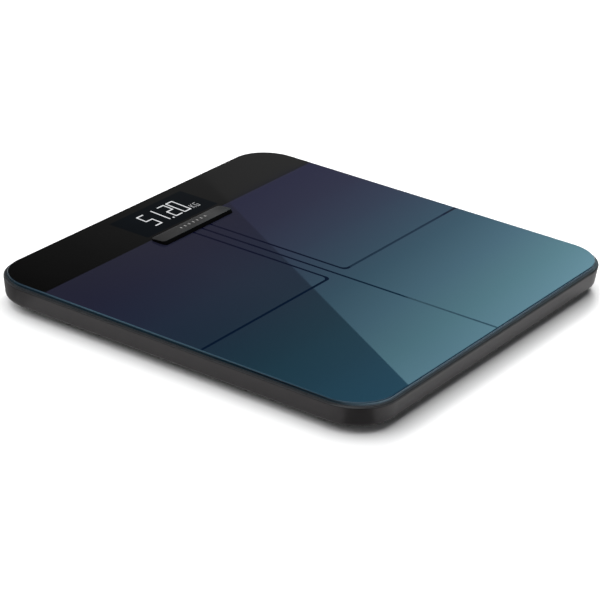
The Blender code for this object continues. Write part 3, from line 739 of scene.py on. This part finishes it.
def build_cover_marks():
    """Grip ribs and a plain opening arrow on the battery cover."""
    low, high, _ = extent("battery_cover")
    base = low.z
    marks = []
    for number in range(5):
        place = (0.0, high.y - 3.0 - number * 1.7)
        crest = [(x, y, base - 0.35) for x, y in rounded(4.95, 0.15, 0.14, 4, place)]
        root = [(x, y, base + 0.1) for x, y in rounded(5.2, 0.35, 0.34, 4, place)]
        marks.append(loft([crest, root]))
    tip, stem = low.y + 10.0, low.y + 19.0
    shoulder = tip + 5.0
    arrow = [(0.0, tip), (4.2, shoulder), (1.4, shoulder), (1.4, stem)]
    arrow += [(-1.4, stem), (-1.4, shoulder), (-4.2, shoulder)]
    marks.append(prism(arrow, base - 0.2, base + 0.1))
    piece("battery_cover_marks", marks, [CASING], body_of("battery_cover"))


def build_label():
    """A rating label left blank but for its plain rules."""
    underside = extent("base_shell")[0].z + LABEL_SET_BACK
    sheet = prism(rounded(36.0, 19.0, 2.0, 6, (0.0, LABEL_Y)), underside - 0.06, underside + 0.05)
    piece("rating_label", [sheet], [LABEL], "platform")
    left = -31.0
    rules = []
    for number, half in enumerate((30.0, 30.0, 24.0, 27.0, 15.0)):
        y = LABEL_Y + 11.0 - number * 5.5
        rules.append(prism(rounded(half, 0.5, 0.3, 3, (left + half, y)), underside - 0.09, underside - 0.04))
    piece("rating_label_rules", rules, [PRINT], "platform")


def build_cells():
    """Four sleeved cells, each with its rim, shoulder and button."""
    for number in range(1, 5):
        node = f"battery_cell_{number}"
        low, high, middle = extent(node)
        radius, long = (high.z - low.z) / 2, high.x - low.x
        profile = [
            (radius - 1.2, 0.0),
            (radius - 0.5, 0.05),
            (radius - 0.1, 0.35),
            (radius, 0.8),
            (radius, long * 0.62),
            (radius, long * 0.95),
            (radius - 0.25, long - 1.45),
            (radius - 1.1, long - 1.2),
            (1.9, long - 1.15),
            (1.85, long - 0.2),
            (1.6, long),
        ]
        forward = number % 2 == 1
        angles = [2 * math.pi * step / 40 for step in range(40)]
        rings = []
        for r, t in profile:
            x = low.x + t if forward else high.x - t
            rings.append([(x, middle.y + r * math.cos(a), middle.z + r * math.sin(a)) for a in angles])
        body = loft(rings, [0, 0, 1, 1, 2, 1, 0, 0, 0, 0])
        cell = piece(node + "_fine", [body], [STEEL, SLEEVE, SLEEVE_BAND], body_of(node), angle=40)
        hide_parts(node)


def paint_inside():
    """Finished materials for the CAD nodes that keep their own shape."""
    paint(FOAM, "glass_bond_tape")
    paint(STEEL, *[f"electrode_contact_{n}" for n in range(1, 5)], *[f"case_screw_{n}" for n in range(1, 5)])
    paint(STEEL, "radio_module", "battery_bridge_left", "battery_bridge_right_1", "battery_bridge_right_2")
    paint(STEEL, "battery_terminal_negative", "battery_terminal_positive")
    paint(MASK, "display_mask")
    paint(DIFFUSER, "display_diffuser")
    paint(WHITE, "display_reflector", "unit_switch_plunger")
    paint(WHITE, "sensor_connector_left", "sensor_connector_right")
    paint(CHIP, "controller_chip", "unit_switch")
    for corner in CORNERS:
        paint(STEEL, f"load_cell_{corner}")
        paint(WHITE, f"load_cell_bracket_{corner}")
        paint(POTTING, f"strain_gauge_{corner}")
        paint(CABLE, f"load_cell_lead_{corner}")
    paint(CABLE, "battery_lead")
    paint(BOARD, "main_board")


# ================================================================ stage
AZIMUTH, ELEVATION, ROLL = (math.radians(angle) for angle in (-56.723, 25.096, 3.528))
DISTANCE, SLIDE_ACROSS, SLIDE_UP = 1662.02, -5.038, -24.524  # of the camera from the middle of the glass
LENS = 147.53

CARD_HEIGHT = 1000.0  # of the reflection cards over the glass
SHEEN_REACH, DIM_REACH = 3000.0, 4000.0  # of the cards on each side of the diagonal
SHEEN_EDGE = ((-107.0, -149.3), (47.1, 97.8))  # two points of the diagonal as it shows on the glass
FLAG_NEAR, FLAG_FAR = 33.0, 240.0
FLAG_LIFT = 0.4

SUN_LEAN = math.radians(22)  # the soft light comes a little from behind
SUN_SPREAD = math.radians(100)
SUN_POWER = 4.2
SKY_POWER = 0.08


def view_axes():
    """Unit vectors to the picture's right, to its top and back towards the camera."""
    level = math.cos(ELEVATION)
    back = Vector((math.sin(AZIMUTH) * level, -math.cos(AZIMUTH) * level, math.sin(ELEVATION)))
    across = Vector((0, 0, 1)).cross(back).normalized()
    up = back.cross(across)
    right = across * math.cos(ROLL) + up * math.sin(ROLL)
    return right, up * math.cos(ROLL) - across * math.sin(ROLL), back


RIGHT, UP, BACK = view_axes()
EYE = BACK * DISTANCE + RIGHT * SLIDE_ACROSS + UP * SLIDE_UP  # from the middle of the glass's top


def build_camera():
    """The photograph's viewpoint, solved from the outline of the glass."""
    data = bpy.data.cameras.new("camera")
    data.sensor_width = 36.0
    data.lens = LENS
    camera = bpy.data.objects.new("camera", data)
    place = (EYE + Vector((0, 0, GLASS_HIGH))) * MM
    camera.matrix_world = Matrix.Translation(place) @ Matrix((RIGHT, UP, BACK)).transposed().to_4x4()
    bpy.context.scene.collection.objects.link(camera)
    bpy.context.scene.camera = camera


def emissive(name, strength=1.0):
    """A material that only glows, with its tree and its emission node."""
    made = bpy.data.materials.new(name)
    made.use_nodes = True
    tree = made.node_tree
    tree.nodes.clear()
    out = tree.nodes.new("ShaderNodeOutputMaterial")
    glow = tree.nodes.new("ShaderNodeEmission")
    glow.inputs["Strength"].default_value = strength
    tree.links.new(glow.outputs["Emission"], out.inputs["Surface"])
    return made, tree, glow


def stage_plane(name, corners, material):
    """A flat staged sheet."""
    mesh = bpy.data.meshes.new(name)
    mesh.from_pydata([Vector(corner) * MM for corner in corners], [], [list(range(len(corners)))])
    obj = bpy.data.objects.new(name, mesh)
    mesh.materials.append(material)
    bpy.context.scene.collection.objects.link(obj)
    return obj


def reflection_card(name, corners, material):
    """A staged sheet that shows only in reflections."""
    sheet = stage_plane(name, corners, material)
    sheet.visible_camera = False
    sheet.visible_diffuse = False
    sheet.visible_shadow = False
    sheet.visible_transmission = False


def build_floor():
    """A plain pale floor, far wider than the view."""
    material, _, bsdf = shader("pale_floor", Roughness=0.9, Specular_IOR_Level=0.0)
    bsdf.inputs["Base Color"].default_value = (0.86, 0.86, 0.86, 1.0)
    size = 12000.0
    stage_plane("floor", [(-size, -size, 0), (size, -size, 0), (size, size, 0), (-size, size, 0)], material)


def over(x, y):
    """The point at the cards' height that the eye sees reflected at x, y on the glass."""
    share = CARD_HEIGHT / EYE.z
    return Vector((x + (x - EYE.x) * share, y + (y - EYE.y) * share, GLASS_HIGH + CARD_HEIGHT))


def panel(name, stops, levels, from_x, to_x, corners):
    """A soft overhead panel: its colour turns along Y through stops, and its strength runs along X."""
    material, tree, glow = emissive(name + "_glow")
    place = own_axes(tree)
    near, far = (over(0, stop[0]).y * MM for stop in (stops[0], stops[-1]))
    tree.links.new(through(tree, place["Y"], near, far, stops, "LINEAR"), glow.inputs["Color"])
    left, right = (over(x, 0).x * MM for x in (from_x, to_x))
    tree.links.new(spread(tree, place["X"], *levels, left, right), glow.inputs["Strength"])
    reflection_card(name, corners, material)


def build_reflection_cards():
    """Studio panels overhead: the pale sheen right of the diagonal, and dim ones left of it."""
    edge_low, edge_high = (over(*point) for point in SHEEN_EDGE)
    run = edge_high - edge_low
    low, high = edge_low - run * 1.2, edge_high + run * 1.2
    split = low + run * ((over(0, BAND_Y).y - low.y) / run.y)

    def strip(start, end, width):
        """The corners of a strip beside the diagonal from start to end."""
        aside = Vector((width, 0.0, 0.0))
        return [start, start + aside, end + aside, end]

    sheen = (
        (-149.0, (1.02, 1.78, 2.00)),
        (-120.0, (0.74, 1.38, 1.50)),
        (-80.0, (0.51, 0.89, 1.12)),
        (-40.0, (0.31, 0.57, 0.74)),
        (20.0, (0.20, 0.26, 0.37)),
        (60.0, (0.150, 0.163, 0.240)),
        (BAND_Y - 0.5, (0.095, 0.10, 0.185)),
        (BAND_Y + 0.5, (0.185, 0.185, 0.185)),
        (149.0, (0.175, 0.175, 0.175)),
    )
    plain = ((-149.0, (1.0, 1.0, 1.0)), (149.0, (1.0, 1.0, 1.0)))
    panel("sheen_panel", sheen, (0.66, 0.90), -60, 140, strip(low, high, SHEEN_REACH))
    panel("dim_panel", plain, (0.022, 0.060), -140, -50, strip(low, split, -DIM_REACH))
    panel("dim_band_panel", plain, (0.022, 0.113), -150, 75, strip(split, high, -DIM_REACH))


def build_flags():
    """Grey cards on the floor that set how dark the casing's corners reflect."""
    out_x, out_y = FLAT_HALF_X - FLAT_RADIUS, FLAT_HALF_Y - FLAT_RADIUS
    flag("near_corner_flag", (-out_x, -out_y), 200, 248, 0.38)
    flag("left_corner_flag", (-out_x, out_y), 84, 152, 0.38)
    flag("left_wall_flag", (-out_x, out_y), 152, 172, 0.66)
    flag("right_corner_flag", (out_x, -out_y), 268, 352, 0.9)


def flag(name, centre, start, end, level):
    """A sector of a ring about a corner's centre, from start to end in degrees."""
    rim = []
    for reach, angles in ((FLAG_NEAR, range(start, end + 1, 4)), (FLAG_FAR, range(end, start - 1, -4))):
        for angle in angles:
            a = math.radians(angle)
            rim.append((centre[0] + reach * math.cos(a), centre[1] + reach * math.sin(a), FLAG_LIFT))
    reflection_card(name, rim, emissive(name + "_grey", level)[0])


def build_light():
    """A broad soft light overhead, a faint sky and three low fills."""
    scene = bpy.context.scene
    scene.view_settings.view_transform = "Standard"
    scene.view_settings.look = "None"
    world = bpy.data.worlds.new("studio")
    scene.world = world
    world.use_nodes = True
    sky = world.node_tree.nodes["Background"]
    sky.inputs["Color"].default_value = (0.9, 0.95, 1.0, 1.0)
    sky.inputs["Strength"].default_value = SKY_POWER
    sun = bpy.data.lights.new("softbox", "SUN")
    sun.energy = SUN_POWER
    sun.angle = SUN_SPREAD
    lamp = bpy.data.objects.new("softbox", sun)
    lamp.rotation_euler = (-SUN_LEAN, 0.0, 0.0)
    scene.collection.objects.link(lamp)
    fill_light("left_fill", (-450.0, 0.0, 180.0), (-150.0, 0.0, 0.0), (500.0, 200.0), 0.28)
    fill_light("right_fill", (760.0, 200.0, 560.0), (140.0, -165.0, 0.0), (300.0, 200.0), 5.5)
    fill_light("front_fill", (0.0, -500.0, 130.0), (0.0, -160.0, 0.0), (500.0, 100.0), 0.11)


def fill_light(name, place, aim, size, power):
    """A small softbox that lifts the floor's shadow and leaves no highlight."""
    light = bpy.data.lights.new(name, "AREA")
    light.shape = "RECTANGLE"
    light.size, light.size_y = (side * MM for side in size)
    light.energy = power
    lamp = bpy.data.objects.new(name, light)
    lamp.location = Vector(place) * MM
    lamp.rotation_euler = (Vector(aim) - Vector(place)).to_track_quat("-Z", "Y").to_euler()
    lamp.visible_glossy = False
    bpy.context.scene.collection.objects.link(lamp)


def main():
    build_camera()
    build_glass()
    build_display()
    build_bar()
    build_casing()
    build_cells()
    paint_inside()
    build_floor()
    build_reflection_cards()
    build_flags()
    build_light()


main()
